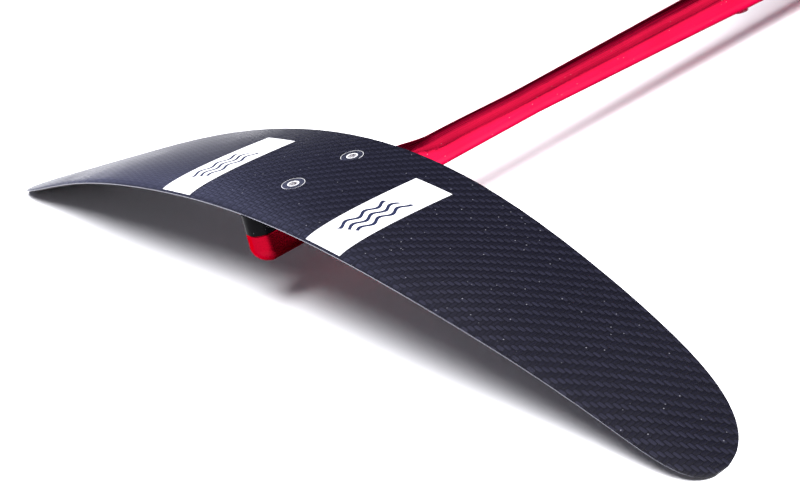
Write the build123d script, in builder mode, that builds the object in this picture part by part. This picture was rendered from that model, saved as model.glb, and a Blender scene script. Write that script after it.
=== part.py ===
from build123d import *
from dataclasses import dataclass, replace
from math import cos, pi, sqrt
import os

# Hydrofoil for a foil board: front wing, fuselage, mast with board plate, and rear stabiliser.
# +X points aft, +Z up, Y across. The origin is on the floor, half way along the fuselage.
# The foil stands on its wing tips. Stations are distances aft of the fuselage's nose.

os.makedirs("parts", exist_ok=True)

# ---- driving dimensions, millimetres ----
fuselage_length = 750.0
pad_width = 20.0  # width of the fuselage under either wing
pad_height = 22.0
pad_corner = 1.2  # edge between the pad's flat top and its side
belly_corner = 9.0  # round underside
nose_radius = 12.0  # lower front corner, seen from the side
saddle_recess = 3.0  # step behind the saddle, which sits this deep in the bar
waist_height = 23.2  # behind the front pad, nearly round
waist_corner = 9.4
waist_rise = 0.9  # how far the waist's centre line lies over the pad's
slim_height = 21.6
hub_width = 28.0  # fuselage where the mast stands
hub_height = 30.5
hub_corner = 11.0
hub_sink = 4.0  # how far the hub's centre line lies under the pad's
hub_margin = 6.0  # full size this far aft of the mast
saddle_clearance = 1.3  # between the saddle's end and the step
front_pad_end = 122.0
waist_station = 158.0
slim_station = 250.0
tail_pad_length = 92.0
tail_pad_height = 17.0
tail_corner = 7.2
tail_pad_drop = 6.0  # tail pad's flat top under the front pad's

wing_station = 1.0  # front wing's leading edge
saddle_height = 13.8  # from the wing's chord line down to the front pad
saddle_lip = 0.4  # the saddle's front edge stays this far under the leading edge
saddle_chord_share = 0.96  # of the root chord that the saddle reaches
skin_thickness = 1.3
core_reach = 0.93  # share of the half span that has a foam core
core_nose_inset = 0.05  # solid laminate at the core's nose and tail, shares of the chord
core_tail_inset = 0.13
wing_screw_first = 40.3  # aft of the front wing's leading edge
wing_screw_spacing = 48.5
root_block_width = 26.0
root_block_margin = 15.0  # root block beyond the outer screws
decal_inner = 63.7  # distance from the centre line
decal_width = 33.0
decal_thickness = 0.15
decal_glue = 0.12  # glue line under it
decal_length = 89.0  # aft of the root's leading edge

stabiliser_setback = 74.0  # stabiliser's leading edge, forward of the fuselage's end
stabiliser_chord = 62.0
stabiliser_belly = 0.036  # lower surface under its chord line, share of the chord
stabiliser_crown = 0.052  # upper surface over it
stabiliser_skin_below = 1.0
stabiliser_core_reach = 0.9
shim_chord_share = 0.9
stabiliser_shim = 2.5  # under the stabiliser's lowest point
stabiliser_screw_first = 17.0
stabiliser_screw_spacing = 22.0

mast_station = 448.0  # mast's leading edge
mast_chord = 120.0
mast_thickness = 19.0
mast_length = 750.0
mast_wall = 2.8
mast_nose_wall = 5.0
mast_tail_wall = 16.0
mast_screw_first = 27.0  # aft of the mast's leading edge
mast_screw_spacing = 38.0
mast_boss_radius = 7.0
mast_boss_web = 0.84  # length of the web through either boss, share of the mast's thickness
mast_tail_web = 0.4  # the same for the web near the trailing edge
mast_pocket_depth = 18.0
mast_gap = 0.3  # around the mast in its two sockets

plate_length = 210.0
plate_width = 118.0
plate_thickness = 8.0
plate_corner = 22.0
plate_bolt_spacing_x = 165.0
plate_bolt_spacing_y = 90.0
plate_slot_length = 20.0
plate_slot_width = 8.5
collar_wall = 6.0
collar_height = 22.0
plate_edge = 1.0  # chamfer along the lower sides of the plate

big_thread = 8.0  # M8 through the front wing, the mast's foot and the board plate
big_head = 16.0
small_thread = 6.0  # M6 through the stabiliser
small_head = 12.0
recess_depth_share = 0.6  # of the head's height
screw_clearance = 0.1  # radial, shank in insert
hole_clearance = 0.25  # radial, shank in a plain hole
head_clearance = 0.1  # radial, head in its countersink
head_sink = 0.25  # heads sit this far below the surface
head_rim = 0.25  # straight edge between a head's top and its cone
insert_wall = 1.4
insert_length = 13.0
drill_runout = 4.0  # blind holes go this far past their inserts
thread_engagement = 12.0


@dataclass
class Planform:
    """A wing's plan, arch and section; even powers of e, the share of the half span."""

    leading_edge: float
    root_height: float
    half_span: float
    root_chord: float
    fullness: tuple  # how much the chord exceeds an ellipse's
    sweep: tuple  # mid-chord line forward (-) or aft (+)
    drop: tuple  # how far the wing arches down
    twist: tuple  # nose-up angle, radians
    crown: float  # upper surface above the chord line, share of the chord
    belly: float  # lower surface under the chord line, share of the chord
    nose_inset: float = 0.0
    tail_inset: float = 0.0


def even_powers(e, coefficients):
    return sum(c * e ** (2 * k + 2) for k, c in enumerate(coefficients))


def thickness(s):
    """Four-digit wing section, 1 at its thickest, s from 0 at the nose to 1."""
    return 2.969 * sqrt(s) - 1.26 * s - 3.516 * s**2 + 2.843 * s**3 - 1.015 * s**4


def chord_at(wing, e):
    return wing.root_chord * sqrt(1 - e * e) * (1 + even_powers(e, wing.fullness))


def arch_at(wing, e):
    return wing.root_height - even_powers(e, wing.drop)


def section_plane(wing, e):
    """Plane of one wing section: origin at the leading edge, local X along the chord."""
    chord = chord_at(wing, e)
    twist = even_powers(e, wing.twist)
    middle = wing.leading_edge + wing.root_chord / 2 + even_powers(e, wing.sweep)
    nose = (middle - chord / 2, e * wing.half_span, arch_at(wing, e) - twist * chord / 2)
    return Plane(origin=nose, x_dir=(1, 0, twist), z_dir=(0, -1, 0))


def section_outline(wing, e, steps=12):
    """Points from the trailing edge over the top, round the nose and back underneath."""
    chord = chord_at(wing, e)
    first = chord * wing.nose_inset
    length = chord * (1 - wing.nose_inset - wing.tail_inset)
    spread = [(1 - cos(pi * k / steps)) / 2 for k in range(steps + 1)]
    top = [(first + length * s, wing.crown * chord * thickness(s)) for s in spread]
    bottom = [(first + length * s, -wing.belly * chord * thickness(s)) for s in spread]
    return top[::-1] + bottom[1:]


def wing_solid(wing, reach):
    """Loft of a whole wing from tip to tip; reach is the outermost e."""
    half = [0.0, 0.1, 0.2, 0.3, 0.4, 0.5, 0.6, 0.7, 0.79, 0.87, 0.93, 0.97, 0.99, 1.0]
    stations = [-reach * e for e in half[:0:-1]] + [reach * e for e in half]
    with BuildPart() as solid:
        for e in stations:
            points = section_outline(wing, e)
            with BuildSketch(section_plane(wing, e)):
                with BuildLine():
                    Spline(*points)
                    Line(points[-1], points[0])
                make_face()
        loft()
    return solid.part


def surface_height(wing, distance):
    """Height of the upper surface on the centre line, distance aft of the leading edge."""
    return wing.root_height + wing.crown * wing.root_chord * thickness(distance / wing.root_chord)


def x_at(station):
    return station - fuselage_length / 2


def hull_section(station, width, top, bottom, top_corner, bottom_corner):
    """One cross-section of the fuselage, square to X."""
    plane = Plane(origin=(x_at(station), 0, 0), x_dir=(0, 1, 0), z_dir=(1, 0, 0))
    round_limit = 0.49 * min(width, top - bottom)
    with BuildSketch(plane) as section:
        with Locations((0, (top + bottom) / 2)):
            Rectangle(width, top - bottom)
        fillet(section.vertices().sort_by(Axis.Y)[-2:], min(top_corner, round_limit))
        fillet(section.vertices().sort_by(Axis.Y)[:2], min(bottom_corner, round_limit))
    return section.sketch


def screw(x, head_top, direction, diameter, head, length):
    """Countersunk screw with a six-lobed socket; direction +1 has its head up, -1 down."""
    head_height = (head - diameter) / 2
    socket = 0.21 * head
    plane = Plane(origin=(x, 0, head_top), z_dir=(0, 0, direction))
    profile = Plane(origin=(x, 0, head_top), x_dir=(1, 0, 0), z_dir=(0, -direction, 0))
    with BuildPart() as body:
        with BuildSketch(profile):
            with BuildLine():
                Polyline(
                    (0, 0), (head / 2 - head_rim, 0), (head / 2, -head_rim),
                    (diameter / 2, -head_rim - head_height), (diameter / 2, 1 - length),
                    (diameter / 2 - 1, -length), (0, -length), (0, 0),
                )
            make_face()
        revolve(axis=Axis((x, 0, 0), (0, 0, 1)))
        with BuildSketch(plane):
            Circle(0.78 * socket)
            with PolarLocations(0.76 * socket, 6):
                Circle(0.24 * socket)
        extrude(amount=-recess_depth_share * head_height, mode=Mode.SUBTRACT)
    return body.part


def screw_row(name, places, direction, diameter, head, length):
    """Identical screws as one node; places are (x, head height) pairs."""
    with BuildPart() as row:
        for x, head_top in places:
            add(screw(x, head_top, direction, diameter, head, length))
    row.part.label = name
    export_step(row.part, f"parts/{name}.step")


def insert_row(name, places, diameter):
    """Threaded inserts as one node of plain sleeves; places are (x, lower end) pairs."""
    with BuildPart() as row:
        for x, lower_end in places:
            with BuildSketch(Plane.XY.offset(lower_end)):
                with Locations((x, 0)):
                    Circle(diameter / 2 + screw_clearance + insert_wall)
                    Circle(diameter / 2 + screw_clearance, mode=Mode.SUBTRACT)
            extrude(amount=insert_length)
    row.part.label = name
    export_step(row.part, f"parts/{name}.step")


def countersunk_hole(x, head_top, direction, diameter, head, depth, above=3.0):
    """Tool solid: clearance hole, cone for the head and a round opening above it."""
    hole_radius = diameter / 2 + hole_clearance
    head_radius = head / 2 + head_clearance
    profile = Plane(origin=(x, 0, head_top), x_dir=(1, 0, 0), z_dir=(0, -direction, 0))
    with BuildPart() as tool:
        with BuildSketch(profile):
            with BuildLine():
                Polyline(
                    (0, above), (head_radius, above), (head_radius, -head_rim),
                    (hole_radius, hole_radius - head_radius - head_rim), (hole_radius, -depth),
                    (0, -depth), (0, above),
                )
            make_face()
        revolve(axis=Axis((x, 0, 0), (0, 0, 1)))
    return tool.part


def mast_outline(extra=0.0):
    """Mast section on the XY plane, grown by extra on every side."""
    first = x_at(mast_station) - extra
    length = mast_chord + 2 * extra
    steps = 12
    spread = [(1 - cos(pi * k / steps)) / 2 for k in range(steps + 1)]
    heights = [mast_thickness / 2 * thickness(s) + extra * (1 - (1 - s) ** 8) for s in spread]
    return foil_sketch([(first + length * s, y) for s, y in zip(spread, heights)])


def mast_hollow():
    """Inside of the mast's wall, stopping short of its thin trailing edge."""
    first = x_at(mast_station) + mast_nose_wall
    length = mast_chord - mast_nose_wall - mast_tail_wall
    steps = 8
    spread = [(1 - cos(pi * k / steps)) / 2 for k in range(steps + 1)]
    inner = mast_thickness / 2 - mast_wall
    return foil_sketch([(first + length * s, inner * thickness(s)) for s in spread])


def foil_sketch(side):
    """Symmetric face from one side's points, nose first."""
    with BuildSketch(mode=Mode.PRIVATE) as section:
        with BuildLine():
            Spline(*side[::-1], *[(x, -y) for x, y in side[1:]])
            Line((side[-1][0], -side[-1][1]), side[-1])
        make_face()
    return section.sketch


# ---- front wing: high-aspect, arched down to tips that the foil stands on ----
front = Planform(
    leading_edge=x_at(wing_station),
    root_height=0.0,
    half_span=352.1,
    root_chord=115.3,
    fullness=(0.201, -0.453, 0.85),
    sweep=(-48.6, 83.2, -70.0),
    drop=(72.4, 22.8, -27.9),
    twist=(-0.282, 0.195),
    crown=0.0355,
    belly=0.036,
)
tip_reach = 0.9985
stance = front.root_height - arch_at(front, 1) + front.belly * chord_at(front, tip_reach)
front = replace(front, root_height=stance)
pad_top = front.root_height - saddle_height
pad_bottom = pad_top - pad_height

front_core = replace(
    front,
    crown=front.crown - skin_thickness / front.root_chord,
    belly=front.belly - skin_thickness / front.root_chord,
    nose_inset=core_nose_inset,
    tail_inset=core_tail_inset,
)
wing_screw_xs = [front.leading_edge + wing_screw_first + k * wing_screw_spacing for k in range(2)]
wing_screw_tops = [surface_height(front, x - front.leading_edge) - head_sink for x in wing_screw_xs]
wing_screw_places = list(zip(wing_screw_xs, wing_screw_tops))
wing_insert_end = pad_top - insert_length
wing_screw_length = wing_screw_tops[0] - (pad_top - thread_engagement)

front_outer = wing_solid(front, tip_reach)
front_inner = wing_solid(front_core, core_reach)
wing_holes = [
    countersunk_hole(x, top, 1, big_thread, big_head, top - pad_top + 1)
    for x, top in wing_screw_places
]

with BuildPart() as front_wing_skin:
    add(front_outer)
    add(front_inner, mode=Mode.SUBTRACT)
    add(wing_holes, mode=Mode.SUBTRACT)
front_wing_skin.part.label = "front_wing_skin"
export_step(front_wing_skin.part, "parts/front_wing_skin.step")

block_length = wing_screw_spacing + 2 * root_block_margin
block_middle = (wing_screw_xs[0] + wing_screw_xs[1]) / 2
with BuildPart() as wing_root_block:
    add(front_inner)
    with Locations((block_middle, 0, front.root_height)):
        Box(block_length, root_block_width, 2 * saddle_height, mode=Mode.INTERSECT)
    add(wing_holes, mode=Mode.SUBTRACT)
wing_root_block.part.label = "wing_root_block"
export_step(wing_root_block.part, "parts/wing_root_block.step")

with BuildPart() as front_wing_core:
    add(front_inner)
    with Locations((block_middle, 0, front.root_height)):
        Box(block_length, root_block_width, 2 * saddle_height, mode=Mode.SUBTRACT)
front_wing_core.part.label = "front_wing_core"
export_step(front_wing_core.part, "parts/front_wing_core.step")

# ---- saddle: moulded foot bonded under the wing, flush with the fuselage's pad ----
saddle_length = wing_station + saddle_chord_share * front.root_chord
with BuildPart() as wing_saddle:
    with BuildSketch(Plane.XY.offset(pad_top)):
        with Locations((x_at(saddle_length / 2), 0)):
            SlotOverall(saddle_length, pad_width)
    extrude(amount=saddle_height - saddle_lip)
    add(front_outer, mode=Mode.SUBTRACT)
    add(wing_holes, mode=Mode.SUBTRACT)
wing_saddle.part.label = "wing_saddle"
export_step(wing_saddle.part, "parts/wing_saddle.step")

screw_row("wing_screws", wing_screw_places, 1, big_thread, big_head, wing_screw_length)
insert_row("wing_thread_inserts", [(x, wing_insert_end) for x in wing_screw_xs], big_thread)


def decal_solid(side):
    """Thin sticker on the upper surface, from the leading edge aft; side is -1 or +1."""
    steps = 12
    with BuildPart() as sticker:
        for k in range(5):
            e = side * (decal_inner + decal_width * k / 4) / front.half_span
            chord = chord_at(front, e)
            plane = section_plane(front, e)
            reach = (front.leading_edge + decal_length - plane.origin.X) / chord
            spread = [reach * (0.12 + 0.88 * j / steps) ** 2 for j in range(steps + 1)]
            under = [(chord * s, front.crown * chord * thickness(s) + decal_glue) for s in spread]
            over = [(x, height + decal_thickness) for x, height in under]
            with BuildSketch(plane):
                with BuildLine():
                    Spline(*under)
                    Line(under[-1], over[-1])
                    Spline(*over[::-1])
                    Line(over[0], under[0])
                make_face()
        loft()
    return sticker.part


for side_name, side in (("port", -1), ("starboard", 1)):
    decal = decal_solid(side)
    decal.label = f"decal_{side_name}"
    export_step(decal, f"parts/decal_{side_name}.step")

# ---- stabiliser: the same kind of wing, smaller, on the fuselage's tail ----
tail_top = pad_top - tail_pad_drop
stabiliser_root = tail_top + stabiliser_shim + stabiliser_belly * stabiliser_chord
stabiliser = Planform(
    leading_edge=x_at(fuselage_length - stabiliser_setback),
    root_height=stabiliser_root,
    half_span=190.0,
    root_chord=stabiliser_chord,
    fullness=(0.19, -0.42, 0.81),
    sweep=(-12.0, 20.0, -16.0),
    drop=(20.0, 18.0, 0.0),
    twist=(-0.10, 0.08),
    crown=stabiliser_crown,
    belly=stabiliser_belly,
)
tip_drop = stabiliser_root - stabiliser.belly * chord_at(stabiliser, tip_reach)
plain_drop = sum(stabiliser.drop)
stabiliser = replace(stabiliser, drop=tuple(d * tip_drop / plain_drop for d in stabiliser.drop))
stabiliser_core_form = replace(
    stabiliser,
    crown=stabiliser.crown - skin_thickness / stabiliser_chord,
    belly=stabiliser.belly - stabiliser_skin_below / stabiliser_chord,
    nose_inset=core_nose_inset,
    tail_inset=core_tail_inset,
)
stabiliser_outer = wing_solid(stabiliser, tip_reach)
stabiliser_inner = wing_solid(stabiliser_core_form, stabiliser_core_reach)
rear_screw_xs = [
    stabiliser.leading_edge + stabiliser_screw_first + k * stabiliser_screw_spacing for k in range(2)
]
rear_screw_tops = [
    surface_height(stabiliser, x - stabiliser.leading_edge) - head_sink for x in rear_screw_xs
]
rear_screw_places = list(zip(rear_screw_xs, rear_screw_tops))
rear_insert_end = tail_top - insert_length
rear_screw_length = rear_screw_tops[0] - (tail_top - thread_engagement)
rear_holes = [
    countersunk_hole(x, top, 1, small_thread, small_head, top - tail_top + 1)
    for x, top in rear_screw_places
]
with BuildPart() as stabiliser_skin:
    add(stabiliser_outer)
    add(stabiliser_inner, mode=Mode.SUBTRACT)
    add(rear_holes, mode=Mode.SUBTRACT)
stabiliser_skin.part.label = "stabiliser_skin"
export_step(stabiliser_skin.part, "parts/stabiliser_skin.step")

with BuildPart() as stabiliser_core:
    add(stabiliser_inner)
    add(rear_holes, mode=Mode.SUBTRACT)
stabiliser_core.part.label = "stabiliser_core"
export_step(stabiliser_core.part, "parts/stabiliser_core.step")

shim_length = shim_chord_share * stabiliser.root_chord
with BuildPart() as shim:
    with BuildSketch(Plane.XY.offset(tail_top)):
        with Locations((stabiliser.leading_edge + stabiliser.root_chord / 2, 0)):
            SlotOverall(shim_length, pad_width)
    extrude(amount=stabiliser_root - tail_top)
    add(stabiliser_outer, mode=Mode.SUBTRACT)
    add(rear_holes, mode=Mode.SUBTRACT)
shim.part.label = "stabiliser_shim"
export_step(shim.part, "parts/stabiliser_shim.step")

screw_row("stabiliser_screws", rear_screw_places, 1, small_thread, small_head, rear_screw_length)
insert_row("stabiliser_thread_inserts", [(x, rear_insert_end) for x in rear_screw_xs], small_thread)

# ---- fuselage: one machined bar, flat pads fore and aft, thick where the mast stands ----
pad_middle = (pad_top + pad_bottom) / 2
recess_end = saddle_length + saddle_clearance
waist_top = pad_middle + waist_rise + waist_height / 2
slim_top = pad_middle + slim_height / 2
hub_top = pad_middle - hub_sink + hub_height / 2
hub_bottom = hub_top - hub_height
tail_bottom = tail_top - tail_pad_height
hub_start = mast_station + mast_chord / 2
hub_end = mast_station + mast_chord + hub_margin
tail_pad_start = fuselage_length - tail_pad_length
pocket_floor = hub_top - mast_pocket_depth
mast_middle = x_at(mast_station + mast_chord / 2)
mast_screw_xs = [x_at(mast_station + mast_screw_first + k * mast_screw_spacing) for k in range(2)]
foot_screw_end = hub_bottom + head_sink
head_screw_top = pocket_floor + mast_length + plate_thickness - head_sink
foot_holes = [
    countersunk_hole(x, foot_screw_end, -1, big_thread, big_head, hub_height)
    for x in mast_screw_xs
]
head_holes = [
    countersunk_hole(x, head_screw_top, 1, big_thread, big_head, 2 * plate_thickness)
    for x in mast_screw_xs
]


def end_steps(reach):
    """Distances from a rounded end, close together where the shape turns quickest."""
    return [reach * share for share in (0.02, 0.1, 0.25, 0.5, 0.75, 1.0)]


def rounded_end(step, radius):
    """Height of a quarter circle of this radius, step in from its end."""
    return sqrt(radius**2 - (radius - min(step, radius)) ** 2)


def end_sections(first, direction, top, bottom, lower_corner):
    """Pad sections that shrink towards an end: half-round in plan, rounded below."""
    sections = []
    for step in end_steps(nose_radius):
        width = 2 * rounded_end(step, pad_width / 2)
        lowest = bottom + nose_radius - rounded_end(step, nose_radius)
        station = first + direction * step
        sections.append(hull_section(station, width, top, lowest, pad_corner, lower_corner))
    return sections


def blend(a, b, share):
    return a + (b - a) * share


def blended(first, second, share):
    return [blend(a, b, share) for a, b in zip(first, second)]


# width, top, bottom, upper corners and lower corners of the bar at its named places
flat_form = (pad_width, pad_top, pad_bottom, pad_corner, belly_corner)
shoulder_form = (pad_width, pad_top + saddle_recess, pad_bottom, pad_corner, belly_corner)
waist_form = (pad_width, waist_top, waist_top - waist_height, waist_corner, waist_corner)
slim_form = (pad_width, slim_top, slim_top - slim_height, waist_corner, waist_corner)
hub_form = (hub_width, hub_top, hub_bottom, hub_corner, hub_corner)
tail_form = (pad_width, tail_top, tail_bottom, pad_corner, tail_corner)


def eased_sections(first_station, first_form, last_station, last_form):
    """Evenly spaced sections that leave one form and reach the next without a kink."""
    steps = 8
    sections = []
    for k in range(steps + 1):
        share = (1 - cos(pi * k / steps)) / 2
        station = blend(first_station, last_station, k / steps)
        sections.append(hull_section(station, *blended(first_form, last_form, share)))
    return sections


tail_pad_end = fuselage_length - nose_radius
with BuildPart() as fuselage:
    loft(end_sections(0, 1, pad_top, pad_bottom, belly_corner))
    loft([hull_section(station, *flat_form) for station in (nose_radius, recess_end)])
    loft([hull_section(station, *shoulder_form) for station in (recess_end, front_pad_end)])
    loft(eased_sections(front_pad_end, shoulder_form, waist_station, waist_form))
    loft(eased_sections(waist_station, waist_form, slim_station, slim_form))
    loft([hull_section(slim_station, *slim_form), hull_section(hub_start, *hub_form)])
    loft([hull_section(hub_start, *hub_form), hull_section(hub_end, *hub_form)])
    loft(eased_sections(hub_end, hub_form, tail_pad_start, tail_form))
    loft([hull_section(station, *tail_form) for station in (tail_pad_start, tail_pad_end)])
    loft(end_sections(fuselage_length, -1, tail_top, tail_bottom, tail_corner))
    with BuildSketch(Plane.XY.offset(pocket_floor)):
        add(mast_outline(mast_gap))
    extrude(amount=mast_pocket_depth + 5, mode=Mode.SUBTRACT)
    for xs, lower_end, thread in (
        (wing_screw_xs, wing_insert_end, big_thread), (rear_screw_xs, rear_insert_end, small_thread),
    ):
        with BuildSketch(Plane.XY.offset(lower_end)):
            with Locations(*[(x, 0) for x in xs]):
                Circle(thread / 2 + screw_clearance + insert_wall)
        extrude(amount=insert_length + 1, mode=Mode.SUBTRACT)
        with BuildSketch(Plane.XY.offset(lower_end - drill_runout)):
            with Locations(*[(x, 0) for x in xs]):
                Circle(thread / 2 + screw_clearance)
        extrude(amount=drill_runout, mode=Mode.SUBTRACT)
    add(foot_holes, mode=Mode.SUBTRACT)
fuselage.part.label = "fuselage"
export_step(fuselage.part, "parts/fuselage.step")

foot_length = pocket_floor + thread_engagement - foot_screw_end
screw_row(
    "mast_foot_screws", [(x, foot_screw_end) for x in mast_screw_xs], -1, big_thread, big_head,
    foot_length,
)

# ---- mast: hollow extrusion with two screw bosses, the same inserts at either end ----
mast_top = pocket_floor + mast_length
boss_bore = big_thread / 2 + screw_clearance + insert_wall
with BuildPart() as mast:
    with BuildSketch(Plane.XY.offset(pocket_floor)):
        add(mast_outline())
        add(mast_hollow(), mode=Mode.SUBTRACT)
        with Locations(*[(x, 0) for x in mast_screw_xs]):
            Circle(mast_boss_radius)
            Rectangle(mast_wall, mast_boss_web * mast_thickness)
        with Locations((mast_middle + mast_chord / 4, 0)):
            Rectangle(mast_wall, mast_tail_web * mast_thickness)
        with Locations(*[(x, 0) for x in mast_screw_xs]):
            Circle(boss_bore, mode=Mode.SUBTRACT)
    extrude(amount=mast_length)
mast.part.label = "mast"
export_step(mast.part, "parts/mast.step")

insert_row("mast_foot_inserts", [(x, pocket_floor) for x in mast_screw_xs], big_thread)
insert_row("mast_head_inserts", [(x, mast_top - insert_length) for x in mast_screw_xs], big_thread)

# ---- board plate: collar round the mast's head, four slots for the board's tracks ----
plate_top = mast_top + plate_thickness
with BuildPart() as board_plate:
    with BuildSketch(Plane.XY.offset(mast_top)):
        with Locations((mast_middle, 0)):
            RectangleRounded(plate_length, plate_width, plate_corner)
            with GridLocations(plate_bolt_spacing_x, plate_bolt_spacing_y, 2, 2):
                SlotOverall(plate_slot_length, plate_slot_width, mode=Mode.SUBTRACT)
    extrude(amount=plate_thickness)
    chamfer(board_plate.edges().group_by(Axis.Z)[0].sort_by(SortBy.LENGTH)[-4:], plate_edge)
    with BuildSketch(Plane.XY.offset(mast_top)):
        add(mast_outline(mast_gap + collar_wall))
        add(mast_outline(mast_gap), mode=Mode.SUBTRACT)
    extrude(amount=-collar_height)
    add(head_holes, mode=Mode.SUBTRACT)
board_plate.part.label = "board_plate"
export_step(board_plate.part, "parts/board_plate.step")

head_length = head_screw_top - (mast_top - thread_engagement)
screw_row(
    "board_plate_screws", [(x, head_screw_top) for x in mast_screw_xs], 1, big_thread, big_head,
    head_length,
)
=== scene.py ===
import bpy
import math
from mathutils import Matrix, Vector


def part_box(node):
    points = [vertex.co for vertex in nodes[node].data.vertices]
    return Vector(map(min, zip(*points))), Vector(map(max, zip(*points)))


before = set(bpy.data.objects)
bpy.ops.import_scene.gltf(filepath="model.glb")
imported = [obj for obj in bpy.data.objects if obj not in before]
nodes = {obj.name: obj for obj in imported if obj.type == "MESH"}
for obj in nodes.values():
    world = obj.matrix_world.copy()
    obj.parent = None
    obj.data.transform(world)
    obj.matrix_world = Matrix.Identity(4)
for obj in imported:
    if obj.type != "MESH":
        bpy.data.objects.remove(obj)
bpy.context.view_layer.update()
print("frame loaded,", len(nodes), "pieces")


def newMaterial(name):
    material = bpy.data.materials.new(name)
    material.use_nodes = True
    tree = material.node_tree
    return material, tree, tree.nodes["Principled BSDF"]


def setInputs(tree, node, inputs):
    for key, value in inputs.items():
        if isinstance(value, bpy.types.NodeSocket):
            tree.links.new(value, node.inputs[key])
        else:
            node.inputs[key].default_value = value


def addNode(tree, kind, inputs, **settings):
    node = tree.nodes.new(kind)
    for key, value in settings.items():
        setattr(node, key, value)
    setInputs(tree, node, inputs)
    return node


def maths(tree, operation, first, second=0.0):
    return addNode(tree, "ShaderNodeMath", {0: first, 1: second}, operation=operation).outputs[0]


def times(tree, first, second):
    return maths(tree, "MULTIPLY", first, second)


def plus(tree, first, second):
    return maths(tree, "ADD", first, second)


def minus(tree, first, second):
    return maths(tree, "SUBTRACT", first, second)


def flip(tree, value):
    return minus(tree, 1.0, value)


def mixColour(tree, factor, first, second, blendType="MIX"):
    node = tree.nodes.new("ShaderNodeMix")
    node.data_type, node.blend_type = "RGBA", blendType
    setInputs(tree, node, {0: factor, 6: first, 7: second})
    return node.outputs[2]


def mapRange(tree, value, low, high, toLow=0.0, toHigh=1.0, smooth=True):
    node = addNode(tree, "ShaderNodeMapRange", {0: value, 1: low, 2: high, 3: toLow, 4: toHigh})
    node.interpolation_type = "SMOOTHSTEP" if smooth else "LINEAR"
    return node.outputs[0]


def newGroup(name, inputs, outputs):
    group = bpy.data.node_groups.new(name, "ShaderNodeTree")
    for label, kind, default in inputs:
        socket = group.interface.new_socket(label, in_out="INPUT", socket_type=kind)
        if default is not None:
            socket.default_value = default
    for label, kind in outputs:
        group.interface.new_socket(label, in_out="OUTPUT", socket_type=kind)
    return group, group.nodes.new("NodeGroupInput"), group.nodes.new("NodeGroupOutput")


def useGroup(tree, group, inputs):
    node = tree.nodes.new("ShaderNodeGroup")
    node.node_tree = group
    setInputs(tree, node, inputs)
    return node


def objectPlace(tree):
    return tree.nodes.new("ShaderNodeTexCoord").outputs["Object"]


def bumpFrom(tree, height, strength, distance):
    inputs = {"Strength": strength, "Distance": distance, "Height": height}
    return addNode(tree, "ShaderNodeBump", inputs).outputs[0]


def noise(tree, place, scale, detail, roughness=0.5):
    inputs = {"Vector": place, "Scale": scale, "Detail": detail, "Roughness": roughness}
    return addNode(tree, "ShaderNodeTexNoise", inputs)


def stretched(tree, place, scale):
    return addNode(tree, "ShaderNodeMapping", {"Vector": place, "Scale": scale}).outputs[0]


def vectorMaths(tree, operation, first, second):
    return addNode(tree, "ShaderNodeVectorMath", {0: first, 1: second}, operation=operation).outputs[0]


def splitPlace(tree, place):
    node = addNode(tree, "ShaderNodeSeparateXYZ", {0: place})
    return node.outputs[0], node.outputs[1], node.outputs[2]


def dusted(tree, colour, place, dust):
    specks = useGroup(tree, dustSpecks, {"Place": place, "Cells": dust["cells"], "Share": dust["share"]})
    return mixColour(tree, times(tree, specks.outputs["Speck"], dust["strength"]), colour, dust["tint"])


def facing(tree):
    # object-space direction of the surface, the same from every viewpoint
    return splitPlace(tree, tree.nodes.new("ShaderNodeTexCoord").outputs["Normal"])


# 2x2 twill: each tow passes over two and under two, one step on in every row
def makeTwillGroup():
    group, source, sink = newGroup(
        "twillWeave",
        [("Place", "NodeSocketVector", None), ("Tow", "NodeSocketFloat", 0.0026)],
        [(label, "NodeSocketFloat") for label in ("Over", "Height", "Gap", "Strand")],
    )
    place = source.outputs["Place"]
    sway = noise(group, place, 28.0, 2.0).outputs["Color"]  # the cloth is never laid quite straight
    moved = vectorMaths(group, "ADD", place, vectorMaths(group, "MULTIPLY", sway, (0.0011, 0.0011, 0.0)))
    x, y, z = splitPlace(group, moved)
    u = maths(group, "DIVIDE", x, source.outputs["Tow"])
    v = maths(group, "DIVIDE", y, source.outputs["Tow"])
    cellU, cellV = maths(group, "FLOOR", u), maths(group, "FLOOR", v)
    phase = maths(group, "FLOORED_MODULO", plus(group, cellU, cellV), 4.0)
    over = maths(group, "LESS_THAN", phase, 1.5)
    acrossU, acrossV = minus(group, u, cellU), minus(group, v, cellV)

    def crown(value, power):
        arch = maths(group, "MAXIMUM", maths(group, "SINE", times(group, value, math.pi)), 0.0)
        return maths(group, "POWER", arch, power)

    alongWarp = maths(group, "DIVIDE", plus(group, phase, acrossU), 2.0)
    alongWeft = maths(group, "DIVIDE", plus(group, minus(group, phase, 2.0), acrossV), 2.0)
    warp = times(group, crown(acrossV, 0.45), crown(alongWarp, 0.35))
    weft = times(group, crown(acrossU, 0.45), crown(alongWeft, 0.35))
    height = addNode(group, "ShaderNodeMix", {0: over, 2: weft, 3: warp}).outputs[0]
    gap = mapRange(group, height, 0.3, 0.72, 1.0, 0.0)
    fibresX = noise(group, stretched(group, moved, (60, 2600, 60)), 1.0, 2.0).outputs[0]
    fibresY = noise(group, stretched(group, moved, (2600, 60, 60)), 1.0, 2.0).outputs[0]
    strand = addNode(group, "ShaderNodeMix", {0: over, 2: fibresY, 3: fibresX}).outputs[0]
    for label, value in (("Over", over), ("Height", height), ("Gap", gap), ("Strand", strand)):
        group.links.new(value, sink.inputs[label])
    return group


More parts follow.
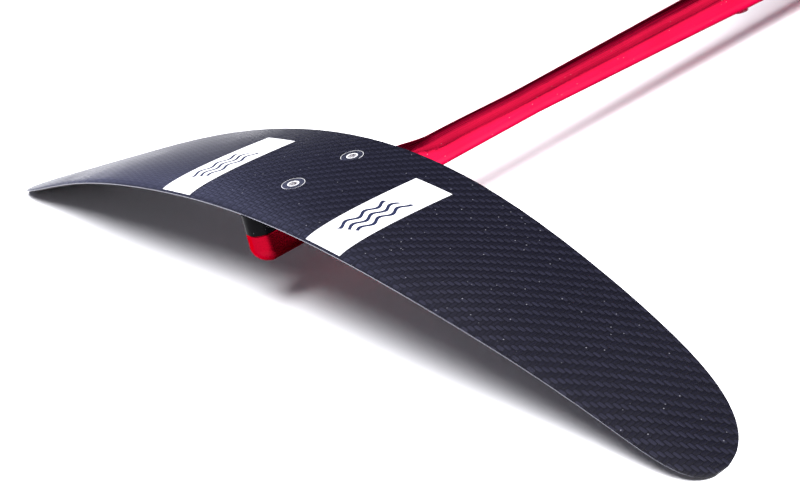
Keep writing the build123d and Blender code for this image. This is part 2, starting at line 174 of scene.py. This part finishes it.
# drawn or machined lines, and slow mottling, both from noise
def makeGrainGroup():
    group, source, sink = newGroup(
        "fineGrain",
        [
            ("Place", "NodeSocketVector", None),
            ("Stretch", "NodeSocketVector", None),
            ("Mottle Scale", "NodeSocketFloat", 12.0),
        ],
        [("Lines", "NodeSocketFloat"), ("Mottle", "NodeSocketFloat")],
    )
    place = source.outputs["Place"]
    scaled = vectorMaths(group, "MULTIPLY", place, source.outputs["Stretch"])
    lines = noise(group, scaled, 1.0, 4.0, 0.65).outputs[0]
    mottle = noise(group, place, source.outputs["Mottle Scale"], 5.0).outputs[0]
    group.links.new(mapRange(group, lines, 0.25, 0.75), sink.inputs["Lines"])
    group.links.new(mapRange(group, mottle, 0.3, 0.7), sink.inputs["Mottle"])
    return group


# sparse dust and pinholes
def makeSpeckGroup():
    group, source, sink = newGroup(
        "dustSpecks",
        [
            ("Place", "NodeSocketVector", None),
            ("Cells", "NodeSocketFloat", 900.0),
            ("Share", "NodeSocketFloat", 0.05),
        ],
        [("Speck", "NodeSocketFloat")],
    )
    inputs = {"Vector": source.outputs["Place"], "Scale": source.outputs["Cells"]}
    cells = addNode(group, "ShaderNodeTexVoronoi", inputs)
    pick = addNode(group, "ShaderNodeSeparateColor", {0: cells.outputs["Color"]}).outputs[0]
    chosen = maths(group, "LESS_THAN", pick, source.outputs["Share"])
    near = mapRange(group, cells.outputs["Distance"], 0.12, 0.34, 1.0, 0.0)
    group.links.new(times(group, chosen, near), sink.inputs["Speck"])
    return group


# radius from the nearer of two screws, and the helix of its thread
def makeScrewGroup():
    group, source, sink = newGroup(
        "screwPair",
        [
            ("Place", "NodeSocketVector", None),
            ("Middle", "NodeSocketFloat", 0.0),
            ("Half Spacing", "NodeSocketFloat", 0.02),
            ("Pitch", "NodeSocketFloat", 0.00125),
        ],
        [("Radius", "NodeSocketFloat"), ("Thread", "NodeSocketFloat")],
    )
    x, y, z = splitPlace(group, source.outputs["Place"])
    fromMiddle = minus(group, x, source.outputs["Middle"])
    offset = times(group, maths(group, "SIGN", fromMiddle), source.outputs["Half Spacing"])
    local = minus(group, fromMiddle, offset)
    squared = plus(group, times(group, local, local), times(group, y, y))
    radius = maths(group, "SQRT", squared)
    turn = maths(group, "DIVIDE", maths(group, "ARCTAN2", y, local), 2 * math.pi)
    climb = plus(group, maths(group, "DIVIDE", z, source.outputs["Pitch"]), turn)
    thread = maths(group, "PINGPONG", climb, 0.5)
    group.links.new(radius, sink.inputs["Radius"])
    group.links.new(times(group, thread, 2.0), sink.inputs["Thread"])
    return group


twillWeave = makeTwillGroup()
fineGrain = makeGrainGroup()
dustSpecks = makeSpeckGroup()
screwPair = makeScrewGroup()
print("shader groups built")

carbonLook = {
    "tow": 0.0027,
    "warp": (0.0035, 0.0035, 0.008, 1),
    "weft": (0.010, 0.010, 0.019, 1),
    "gap": (0.001, 0.001, 0.003, 1),
    # painted highlight colour for the leading edge
    "paintedEdgeHighlight": (0.30, 0.30, 0.36, 1),
    "dust": {"cells": 620.0, "share": 0.018, "strength": 0.45, "tint": (0.35, 0.35, 0.4, 1)},
    "relief": (0.55, 0.00022),
    "roughness": (0.24, 0.34),
}


def makeCarbon(name, tow):
    material, tree, shader = newMaterial(name)
    place = objectPlace(tree)
    weave = useGroup(tree, twillWeave, {"Place": place, "Tow": tow})
    grain = useGroup(tree, fineGrain, {"Place": place, "Stretch": (40, 40, 40), "Mottle Scale": 9.0})
    colour = mixColour(tree, weave.outputs["Over"], carbonLook["weft"], carbonLook["warp"])
    fibre = mapRange(tree, weave.outputs["Strand"], 0.35, 0.65, 0.55, 1.35)
    fibreColour = addNode(tree, "ShaderNodeCombineColor", {0: fibre, 1: fibre, 2: fibre}).outputs[0]
    colour = mixColour(tree, 0.8, colour, fibreColour, "MULTIPLY")
    colour = mixColour(tree, weave.outputs["Gap"], colour, carbonLook["gap"])
    colour = dusted(tree, colour, place, carbonLook["dust"])
    nose = mapRange(tree, facing(tree)[0], -0.72, -0.97)  # painted highlight: a paler line along the leading edge, set by the surface's direction
    colour = mixColour(tree, times(tree, nose, 0.75), colour, carbonLook["paintedEdgeHighlight"])
    tree.links.new(colour, shader.inputs["Base Color"])
    low, high = carbonLook["roughness"]
    rough = mapRange(tree, grain.outputs["Mottle"], 0.0, 1.0, low, high)
    rough = plus(tree, rough, times(tree, weave.outputs["Gap"], 0.1))
    tree.links.new(rough, shader.inputs["Roughness"])
    relief = plus(tree, weave.outputs["Height"], times(tree, weave.outputs["Strand"], 0.25))
    tree.links.new(bumpFrom(tree, relief, *carbonLook["relief"]), shader.inputs["Normal"])
    shader.inputs["Specular IOR Level"].default_value = 0.5
    return material


stickerLook = {
    "vinyl": (0.88, 0.88, 0.9, 1),
    "ink": (0.012, 0.016, 0.045, 1),
    "waveSpan": (0.30, 0.76),
    "rowSpan": (0.2, 0.8),
    "waves": 6,
    "swell": 0.055,
    "rows": 5.0,
    "slant": 0.16,
    "grime": (0.42, 0.42, 0.47, 1),
    "dust": {"cells": 900.0, "share": 0.02, "strength": 0.5, "tint": (0.42, 0.42, 0.47, 1)},
}


# white vinyl with three plain waves
def makeSticker(name, node):
    low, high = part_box(node)
    material, tree, shader = newMaterial(name)
    place = objectPlace(tree)
    x, y, z = splitPlace(tree, place)
    along = mapRange(tree, x, low.x, high.x, smooth=False)
    across = mapRange(tree, y, low.y, high.y, smooth=False)
    wave = maths(tree, "SINE", times(tree, along, stickerLook["waves"] * 2 * math.pi))
    swelled = plus(tree, across, times(tree, wave, stickerLook["swell"]))
    row = maths(tree, "FRACT", times(tree, swelled, stickerLook["rows"]))
    fromStroke = maths(tree, "ABSOLUTE", minus(tree, row, 0.5))
    stroke = mapRange(tree, fromStroke, 0.20, 0.25, 1.0, 0.0)

    def window(value, span, soft=0.01):
        rise = mapRange(tree, value, span[0] - soft, span[0] + soft)
        return times(tree, rise, mapRange(tree, value, span[1] - soft, span[1] + soft, 1.0, 0.0))

    slant = plus(tree, along, times(tree, across, stickerLook["slant"]))
    ink = times(tree, stroke, window(slant, stickerLook["waveSpan"]))
    ink = times(tree, ink, window(swelled, stickerLook["rowSpan"]))
    grain = useGroup(tree, fineGrain, {"Place": place, "Stretch": (900, 900, 900), "Mottle Scale": 60.0})
    inside = times(tree, window(across, (0.02, 0.98), 0.015), window(along, (-1.0, 0.992), 0.006))
    rim = flip(tree, inside)
    haze = times(tree, grain.outputs["Mottle"], 0.08)
    colour = mixColour(tree, haze, stickerLook["vinyl"], stickerLook["grime"])
    colour = mixColour(tree, times(tree, rim, 0.55), colour, stickerLook["grime"])
    colour = mixColour(tree, ink, colour, stickerLook["ink"])
    colour = dusted(tree, colour, place, stickerLook["dust"])
    tree.links.new(colour, shader.inputs["Base Color"])
    tree.links.new(mapRange(tree, grain.outputs["Mottle"], 0.0, 1.0, 0.35, 0.5), shader.inputs["Roughness"])
    relief = plus(tree, times(tree, grain.outputs["Lines"], 0.2), ink)
    tree.links.new(bumpFrom(tree, relief, 0.25, 0.00003), shader.inputs["Normal"])
    return material


redLook = {
    "crimson": (0.60, 0.007, 0.044, 1),
    # painted highlight for surfaces that face upwards
    "lit": (0.90, 0.012, 0.068, 1),
    # painted shade colour for the nose
    "deep": (0.20, 0.0006, 0.005, 1),
    # painted reflection for surfaces that face downwards
    "paintedBellyReflection": (0.50, 0.017, 0.055, 1),
    "edge": (1.0, 0.32, 0.44, 1),
    "lines": (14, 900, 900),
    "roughness": (0.22, 0.34),
    # reach of the painted shade towards the nose
    "paintedNoseShade": (0.125, 0.01),
    "dust": {"cells": 700.0, "share": 0.02, "strength": 0.25, "tint": (0.9, 0.6, 0.65, 1)},
}


# dyed anodising, with painted shade darkening it towards the nose, and painted highlight and painted
# reflection set by the surface's direction
def makeRed():
    material, tree, shader = newMaterial("redAnodised")
    place = objectPlace(tree)
    x, y, z = splitPlace(tree, place)
    grain = useGroup(tree, fineGrain, {"Place": place, "Stretch": redLook["lines"], "Mottle Scale": 16.0})
    nz = facing(tree)[2]
    # painted reflection: downward-facing surfaces take a pinker red
    colour = mixColour(tree, mapRange(tree, nz, 0.02, -0.3), redLook["crimson"], redLook["paintedBellyReflection"])
    # painted highlight: upward-facing surfaces are lighter
    colour = mixColour(tree, mapRange(tree, nz, 0.35, 0.8), colour, redLook["lit"])
    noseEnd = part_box("fuselage")[0].x
    # painted shade: darker towards the nose, standing in for the shade under the wing
    fadeEnd, fadeStart = (noseEnd + reach for reach in redLook["paintedNoseShade"])
    paintedNoseShade = times(tree, mapRange(tree, x, fadeEnd, fadeStart), 0.85)
    colour = mixColour(tree, paintedNoseShade, colour, redLook["deep"])
    unevenness = plus(tree, grain.outputs["Lines"], grain.outputs["Mottle"])
    tone = mapRange(tree, unevenness, 0.4, 1.6, 0.9, 1.08)
    toneColour = addNode(tree, "ShaderNodeCombineColor", {0: tone, 1: tone, 2: tone}).outputs[0]
    colour = mixColour(tree, 1.0, colour, toneColour, "MULTIPLY")
    colour = dusted(tree, colour, place, redLook["dust"])
    tree.links.new(colour, shader.inputs["Base Color"])
    shader.inputs["Metallic"].default_value = 1.0
    shader.inputs["Specular Tint"].default_value = redLook["edge"]
    low, high = redLook["roughness"]
    tree.links.new(mapRange(tree, grain.outputs["Lines"], 0.0, 1.0, low, high), shader.inputs["Roughness"])
    tree.links.new(bumpFrom(tree, grain.outputs["Lines"], 0.18, 0.00004), shader.inputs["Normal"])
    return material


blackLook = {
    "dye": (0.010, 0.010, 0.013, 1),
    "worn": (0.035, 0.035, 0.042, 1),
    "roughness": (0.30, 0.46),
    "dust": {"cells": 520.0, "share": 0.02, "strength": 0.35, "tint": (0.3, 0.3, 0.33, 1)},
}


def makeBlack(name, lines, relief):
    material, tree, shader = newMaterial(name)
    place = objectPlace(tree)
    grain = useGroup(tree, fineGrain, {"Place": place, "Stretch": lines, "Mottle Scale": 14.0})
    wear = times(tree, grain.outputs["Lines"], grain.outputs["Mottle"])
    colour = mixColour(tree, wear, blackLook["dye"], blackLook["worn"])
    colour = dusted(tree, colour, place, blackLook["dust"])
    tree.links.new(colour, shader.inputs["Base Color"])
    shader.inputs["Metallic"].default_value = 0.55
    low, high = blackLook["roughness"]
    tree.links.new(mapRange(tree, grain.outputs["Lines"], 0.0, 1.0, low, high), shader.inputs["Roughness"])
    tree.links.new(bumpFrom(tree, grain.outputs["Lines"], relief, 0.00005), shader.inputs["Normal"])
    return material


mouldLook = {
    "black": (0.0015, 0.0015, 0.002, 1),
    "dusty": (0.012, 0.012, 0.014, 1),
    "roughnessSpread": 0.12,
    "dust": {"cells": 800.0, "share": 0.03, "strength": 0.3, "tint": (0.25, 0.25, 0.28, 1)},
}


# moulded black parts: gloss for the saddle, matt for the shim
def makeMoulded(name, roughness, cells, relief, specular):
    material, tree, shader = newMaterial(name)
    place = objectPlace(tree)
    stretch = (cells, cells, cells)
    grain = useGroup(tree, fineGrain, {"Place": place, "Stretch": stretch, "Mottle Scale": 40.0})
    mottle = grain.outputs["Mottle"]
    colour = mixColour(tree, times(tree, mottle, 0.2), mouldLook["black"], mouldLook["dusty"])
    colour = dusted(tree, colour, place, mouldLook["dust"])
    tree.links.new(colour, shader.inputs["Base Color"])
    rough = mapRange(tree, mottle, 0.0, 1.0, roughness, roughness + mouldLook["roughnessSpread"])
    tree.links.new(rough, shader.inputs["Roughness"])
    shader.inputs["Specular IOR Level"].default_value = specular
    tree.links.new(bumpFrom(tree, grain.outputs["Lines"], relief, 0.00004), shader.inputs["Normal"])
    return material


screwLook = {
    "steel": (0.40, 0.41, 0.44, 1),
    # painted highlights: a bright rim and lip on each head, and a bright socket wall
    "rim": (0.95, 0.95, 0.97, 1),
    "socket": (0.9, 0.9, 0.92, 1),
    "stain": (0.24, 0.25, 0.31, 1),
    "threadLock": (0.16, 0.028, 0.012, 1),
    "toolMarks": 0.00022,
}


def makeScrews(name, node, headRadius, shankRadius, pitch):
    low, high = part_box(node)
    halfSpacing = (high.x - low.x) / 2 - headRadius
    material, tree, shader = newMaterial(name)
    place = objectPlace(tree)
    inputs = {"Place": place, "Middle": (low.x + high.x) / 2, "Half Spacing": halfSpacing, "Pitch": pitch}
    pair = useGroup(tree, screwPair, inputs)
    radius = pair.outputs["Radius"]
    level = maths(tree, "ABSOLUTE", facing(tree)[2])
    flat = mapRange(tree, level, 0.85, 0.97)

    # masks by distance from the axis, as shares of the head's radius
    def within(outer, inner):
        return mapRange(tree, radius, outer * headRadius, inner * headRadius)

    # painted highlights: a bright ring at the rim, a bright lip round the socket, and a bright socket wall
    rim = times(tree, flat, within(0.915, 0.945))
    wall = times(tree, within(0.44, 0.40), flip(tree, flat))
    paintedLipGlint = times(tree, flat, times(tree, within(0.34, 0.37), within(0.50, 0.47)))
    glue = times(tree, within(0.31, 0.24), flat)
    shankEdge = mapRange(tree, radius, 1.06 * shankRadius, 1.02 * shankRadius)
    shank = times(tree, shankEdge, flip(tree, flat))
    paintedGlints = maths(tree, "MAXIMUM", rim, paintedLipGlint)
    turned = maths(tree, "SINE", times(tree, radius, 2 * math.pi / screwLook["toolMarks"]))
    grain = useGroup(tree, fineGrain, {"Place": place, "Stretch": (700, 700, 700), "Mottle Scale": 260.0})
    stain = times(tree, grain.outputs["Mottle"], 0.35)
    colour = mixColour(tree, stain, screwLook["steel"], screwLook["stain"])
    colour = mixColour(tree, paintedGlints, colour, screwLook["rim"])
    colour = mixColour(tree, wall, colour, screwLook["socket"])
    colour = mixColour(tree, times(tree, glue, 0.9), colour, screwLook["threadLock"])
    tree.links.new(colour, shader.inputs["Base Color"])
    paintedGlintMatt = times(tree, paintedGlints, 0.75)  # the painted glints are made partly non-metallic so they stay bright in any reflection
    unmetallic = maths(tree, "MAXIMUM", times(tree, glue, 0.85), paintedGlintMatt)
    tree.links.new(flip(tree, unmetallic), shader.inputs["Metallic"])
    rough = mapRange(tree, grain.outputs["Lines"], 0.0, 1.0, 0.2, 0.34)
    tree.links.new(plus(tree, rough, times(tree, paintedGlints, 0.3)), shader.inputs["Roughness"])
    edges = plus(tree, mapRange(tree, radius, 0.90 * headRadius, headRadius, 1.0, 0.0), within(0.33, 0.47))
    relief = plus(tree, times(tree, turned, 0.012), times(tree, edges, times(tree, flat, 0.6)))
    relief = plus(tree, relief, times(tree, pair.outputs["Thread"], shank))
    tree.links.new(bumpFrom(tree, relief, 0.8, 0.0006), shader.inputs["Normal"])
    return material


insertLook = {"bronze": (0.42, 0.36, 0.27, 1), "dark": (0.12, 0.10, 0.08, 1), "groove": 0.0009}


def makeInserts():
    material, tree, shader = newMaterial("threadInserts")
    place = objectPlace(tree)
    z = splitPlace(tree, place)[2]
    groove = maths(tree, "PINGPONG", maths(tree, "DIVIDE", z, insertLook["groove"]), 0.5)
    grain = useGroup(tree, fineGrain, {"Place": place, "Stretch": (800, 800, 800), "Mottle Scale": 200.0})
    shade = times(tree, mapRange(tree, groove, 0.1, 0.3, 1.0, 0.0), 0.7)
    colour = mixColour(tree, shade, insertLook["bronze"], insertLook["dark"])
    tarnish = times(tree, grain.outputs["Mottle"], 0.3)
    colour = mixColour(tree, tarnish, colour, insertLook["dark"])
    tree.links.new(colour, shader.inputs["Base Color"])
    shader.inputs["Metallic"].default_value = 1.0
    tree.links.new(mapRange(tree, grain.outputs["Lines"], 0.0, 1.0, 0.25, 0.4), shader.inputs["Roughness"])
    tree.links.new(bumpFrom(tree, groove, 0.7, 0.0003), shader.inputs["Normal"])
    return material


foamLook = {
    "foam": (0.62, 0.50, 0.24, 1),
    "cellWall": (0.78, 0.68, 0.42, 1),
    "resin": (0.45, 0.34, 0.16, 1),
    "cells": 900.0,
}


def makeFoam():
    material, tree, shader = newMaterial("foamCore")
    place = objectPlace(tree)
    cells = addNode(tree, "ShaderNodeTexVoronoi", {"Vector": place, "Scale": foamLook["cells"]})
    grain = useGroup(tree, fineGrain, {"Place": place, "Stretch": (300, 300, 300), "Mottle Scale": 20.0})
    wall = mapRange(tree, cells.outputs["Distance"], 0.3, 0.65)
    colour = mixColour(tree, wall, foamLook["foam"], foamLook["cellWall"])
    soaked = times(tree, grain.outputs["Mottle"], 0.25)
    colour = mixColour(tree, soaked, colour, foamLook["resin"])
    tree.links.new(colour, shader.inputs["Base Color"])
    tree.links.new(mapRange(tree, wall, 0.0, 1.0, 0.95, 0.75), shader.inputs["Roughness"])
    tree.links.new(bumpFrom(tree, wall, 0.6, 0.0003), shader.inputs["Normal"])
    return material


laminateLook = {
    "glass": (0.34, 0.36, 0.20, 1),
    "resin": (0.12, 0.13, 0.06, 1),
    "cut": (0.5, 0.5, 0.36, 1),
    "ply": 0.00028,
    "tow": 0.0016,
}


def makeLaminate():
    material, tree, shader = newMaterial("rootLaminate")
    place = objectPlace(tree)
    z = splitPlace(tree, place)[2]
    weave = useGroup(tree, twillWeave, {"Place": place, "Tow": laminateLook["tow"]})
    grain = useGroup(tree, fineGrain, {"Place": place, "Stretch": (500, 500, 60), "Mottle Scale": 60.0})
    ply = maths(tree, "PINGPONG", maths(tree, "DIVIDE", z, laminateLook["ply"]), 0.5)
    layer = times(tree, mapRange(tree, ply, 0.05, 0.4), 0.7)
    colour = mixColour(tree, layer, laminateLook["resin"], laminateLook["glass"])
    between = times(tree, weave.outputs["Gap"], 0.6)
    colour = mixColour(tree, between, colour, laminateLook["resin"])
    colour = mixColour(tree, times(tree, grain.outputs["Mottle"], 0.2), colour, laminateLook["cut"])
    tree.links.new(colour, shader.inputs["Base Color"])
    tree.links.new(mapRange(tree, grain.outputs["Lines"], 0.0, 1.0, 0.4, 0.6), shader.inputs["Roughness"])
    tree.links.new(bumpFrom(tree, weave.outputs["Height"], 0.3, 0.0001), shader.inputs["Normal"])
    return material


carbonWing = makeCarbon("carbonTwill", carbonLook["tow"])
extruded = makeBlack("extrudedBlack", (900, 900, 14), 0.22)
machined = makeBlack("machinedBlack", (1100, 70, 1100), 0.2)
inserts = makeInserts()
foam = makeFoam()
finishes = {
    "front_wing_skin": carbonWing,
    "stabiliser_skin": carbonWing,
    "front_wing_core": foam,
    "stabiliser_core": foam,
    "wing_root_block": makeLaminate(),
    "wing_saddle": makeMoulded("saddleGloss", 0.12, 220, 0.06, 0.03),
    "stabiliser_shim": makeMoulded("shimMatt", 0.55, 1500, 0.4, 0.4),
    "decal_port": makeSticker("stickerPort", "decal_port"),
    "decal_starboard": makeSticker("stickerStarboard", "decal_starboard"),
    "fuselage": makeRed(),
    "mast": extruded,
    "board_plate": machined,
    "wing_screws": makeScrews("wingScrewSteel", "wing_screws", 0.008, 0.004, 0.00125),
    "mast_foot_screws": makeScrews("footScrewSteel", "mast_foot_screws", 0.008, 0.004, 0.00125),
    "board_plate_screws": makeScrews("plateScrewSteel", "board_plate_screws", 0.008, 0.004, 0.00125),
    "stabiliser_screws": makeScrews("rearScrewSteel", "stabiliser_screws", 0.006, 0.003, 0.001),
    "wing_thread_inserts": inserts,
    "stabiliser_thread_inserts": inserts,
    "mast_foot_inserts": inserts,
    "mast_head_inserts": inserts,
}
for name, node in nodes.items():
    node.data.materials.clear()
    node.data.materials.append(finishes[name])
print("finishes placed on", len(finishes), "pieces")

cameraView = {
    "screwHead": 0.008,  # radius of a wing screw's head
    "firstScrew": 0.0403,  # its axis, aft of the wing's leading edge
    "saddleHeight": 0.0138,  # leading edge over the saddle's foot
    "lens": 73.317,
    "fromRoot": (-0.45448, -0.81296, 0.41306),
    "heading": math.radians(34.731),
    "down": math.radians(26.420),
    "roll": math.radians(12.923),
}


# the wing's leading edge on the centre line, which the camera is set from
def findWingRoot():
    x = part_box("wing_screws")[0].x + cameraView["screwHead"] - cameraView["firstScrew"]
    return Vector((x, 0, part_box("wing_saddle")[0].z + cameraView["saddleHeight"]))


def placeCamera():
    heading, down, roll = cameraView["heading"], cameraView["down"], cameraView["roll"]
    level = Vector((math.sin(heading), math.cos(heading), 0))
    forward = level * math.cos(down) - Vector((0, 0, math.sin(down)))
    levelRight = Vector((math.cos(heading), -math.sin(heading), 0))
    levelUp = levelRight.cross(forward)
    right = levelRight * math.cos(roll) - levelUp * math.sin(roll)
    up = right.cross(forward)
    data = bpy.data.cameras.new("camera")
    data.lens = cameraView["lens"]
    data.sensor_width = 36
    data.clip_end = 50
    camera = bpy.data.objects.new("camera", data)
    turn = Matrix((right, up, -forward)).transposed().to_4x4()
    camera.matrix_world = Matrix.Translation(findWingRoot() + Vector(cameraView["fromRoot"])) @ turn
    bpy.context.scene.collection.objects.link(camera)
    bpy.context.scene.camera = camera


placeCamera()
print("camera placed")

studio = {
    "floorSize": 30.0,
    "paper": (0.94, 0.94, 0.975, 1),
    "dark": (0.03, 0.03, 0.045, 1),
    "backSheet": (0.62, 0.66, 1.08, 1),  # lavender sheet behind the far tip
    "backEdge": math.radians(61),
    "overhead": (0.48, 0.46, 0.55, 1),
    "frontSheet": (0.98, 0.96, 1.0, 1),  # white sheet on the near side, a hand above the table
    "gap": (0.12, 0.11, 0.14, 1),
    "fill": 0.34,  # how much the sheets light the table and the object
    "softboxSize": 1.6,
    "softboxPlace": (-0.5, -0.35, 2.1),
    "softboxPower": 132.0,
}


def makeSky():
    world = bpy.data.worlds.new("studio")
    world.use_nodes = True
    sky = world.node_tree
    x, y, z = splitPlace(sky, sky.nodes.new("ShaderNodeTexCoord").outputs["Generated"])
    edge = studio["backEdge"]
    fromEdge = minus(sky, times(sky, y, math.cos(edge)), times(sky, x, math.sin(edge)))
    back = times(sky, mapRange(sky, fromEdge, -0.06, 0.14), mapRange(sky, z, 0.9, 0.6))
    back = times(sky, back, mapRange(sky, x, -0.6, -0.2))
    near = mapRange(sky, y, 0.04, -0.22)
    colour = mixColour(sky, mapRange(sky, z, 0.5, 0.8), studio["dark"], studio["overhead"])
    colour = mixColour(sky, back, colour, studio["backSheet"])
    colour = mixColour(sky, near, colour, studio["gap"])
    overTable = times(sky, near, mapRange(sky, z, 0.05, 0.2))
    colour = mixColour(sky, overTable, colour, studio["frontSheet"])
    background = sky.nodes["Background"]
    sky.links.new(colour, background.inputs[0])
    diffuse = sky.nodes.new("ShaderNodeLightPath").outputs["Is Diffuse Ray"]
    strength = mapRange(sky, diffuse, 0.0, 1.0, 1.0, studio["fill"], smooth=False)
    sky.links.new(strength, background.inputs[1])
    bpy.context.scene.world = world


def makeStudio():
    bpy.ops.mesh.primitive_plane_add(size=studio["floorSize"])
    floor = bpy.context.object
    floor.name = "floor"
    paper, tree, shader = newMaterial("floorPaper")
    shader.inputs["Base Color"].default_value = studio["paper"]
    shader.inputs["Roughness"].default_value = 0.75
    shader.inputs["Specular IOR Level"].default_value = 0.15
    floor.data.materials.append(paper)
    lamp = bpy.data.lights.new("softbox", "AREA")
    lamp.size = studio["softboxSize"]
    lamp.energy = studio["softboxPower"]
    softbox = bpy.data.objects.new("softbox", lamp)
    softbox.location = studio["softboxPlace"]
    softbox.rotation_euler = Vector(studio["softboxPlace"]).to_track_quat("Z", "Y").to_euler()
    softbox.visible_glossy = False
    bpy.context.scene.collection.objects.link(softbox)
    makeSky()
    bpy.context.scene.view_settings.view_transform = "Standard"


makeStudio()
print("studio lit")
